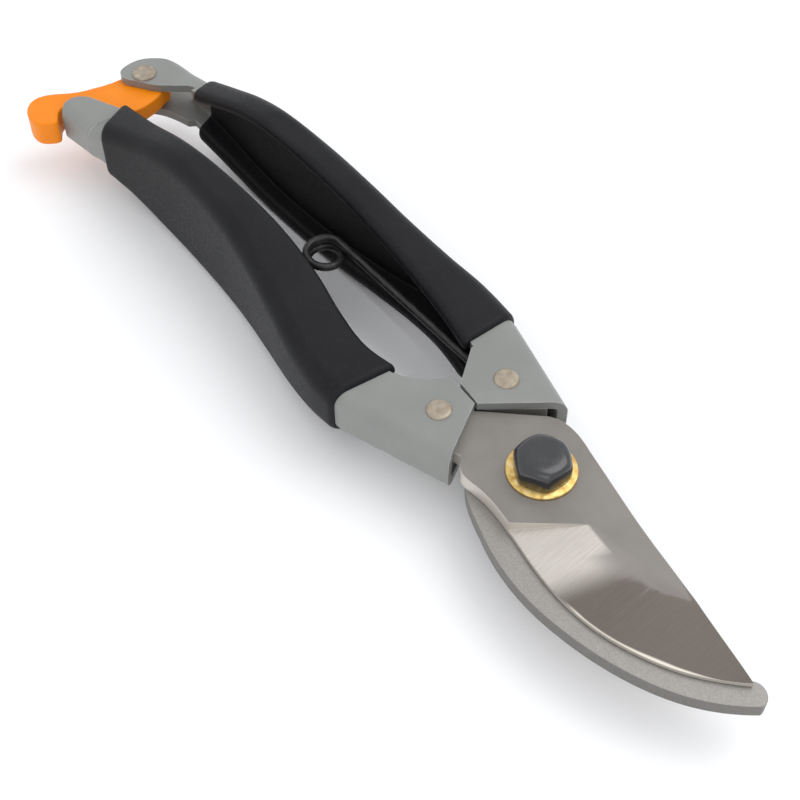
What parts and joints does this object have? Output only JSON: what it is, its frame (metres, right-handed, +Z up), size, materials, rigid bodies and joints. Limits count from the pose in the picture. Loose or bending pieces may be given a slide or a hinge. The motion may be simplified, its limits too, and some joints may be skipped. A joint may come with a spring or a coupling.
{
  "type": "pruning shears",
  "caption": "Bypass pruning shears with dipped channel handles, a hooked counter blade, a torsion spring and a swinging latch that holds them shut.",
  "frame": {"origin": "middle of the underside of the closed and latched tool, on the level its grips rest on", "axes": "+X along the tool to the blade tips, +Y towards the handle that carries the hook, +Z up along the pivot bolt to its nut"},
  "size_m": [0.2136, 0.0497, 0.027],
  "materials": {
    "blade_steel": "ground and brushed steel",
    "hook_steel": "brushed steel",
    "handle_paint": "satin grey paint",
    "grip_vinyl": "matte dipped vinyl",
    "rivet_metal": "satin nickel",
    "bolt_black": "glossy black oxide",
    "washer_zinc": "yellow zinc plate",
    "latch_plastic": "moulded orange plastic",
    "spring_wire": "black spring wire"
  },
  "bodies": {
    "hook_side": {"hook_blade": "hook_steel", "hook_handle_channel": "handle_paint", "hook_handle_grip": "grip_vinyl", "hook_handle_rivet": "rivet_metal", "hook_tang_spacer": "hook_steel", "latch_rivet": "rivet_metal", "pivot_bolt": "bolt_black", "pivot_nut": "bolt_black", "nut_washer": "washer_zinc", "head_washer": "washer_zinc"},
    "blade_side": {"cutting_blade": "blade_steel", "blade_handle_channel": "handle_paint", "blade_handle_grip": "grip_vinyl", "blade_handle_rivet": "rivet_metal", "blade_tang_spacer": "hook_steel"},
    "spring_hook_half": {"spring_hook_leg": "spring_wire"},
    "spring_blade_half": {"spring_blade_leg": "spring_wire"},
    "latch": {"latch_lever": "latch_plastic"}
  },
  "joints": [
    {"name": "blade_pivot", "type": "hinge", "parent": "hook_side", "child": "blade_side", "pos_m": [0.0489, 0.0036, 0.0135], "axis": [0, 0, 1], "range_deg": [0, 24]},
    {"name": "latch_swing", "type": "hinge", "parent": "hook_side", "child": "latch", "pos_m": [-0.0968, 0.0039, 0.0135], "axis": [0, 0, 1], "range_deg": [-120, 0]},
    {"name": "spring_leg_swing", "type": "hinge", "parent": "hook_side", "child": "spring_hook_half", "pos_m": [0.0191, 0.0112, 0.0135], "axis": [0, 0, 1], "range_deg": [0, 26.4]},
    {"name": "spring_coil_turn", "type": "hinge", "parent": "spring_hook_half", "child": "spring_blade_half", "pos_m": [-0.0249, 0.0057, 0.0135], "axis": [0, 0, 1], "range_deg": [-19.15, 0]}
  ],
  "couplings": [
    {"joint": "latch_swing", "follows": "blade_pivot", "ratio": -5},
    {"joint": "spring_leg_swing", "follows": "blade_pivot", "ratio": 1.1},
    {"joint": "spring_coil_turn", "follows": "blade_pivot", "ratio": -0.798}
  ]
}
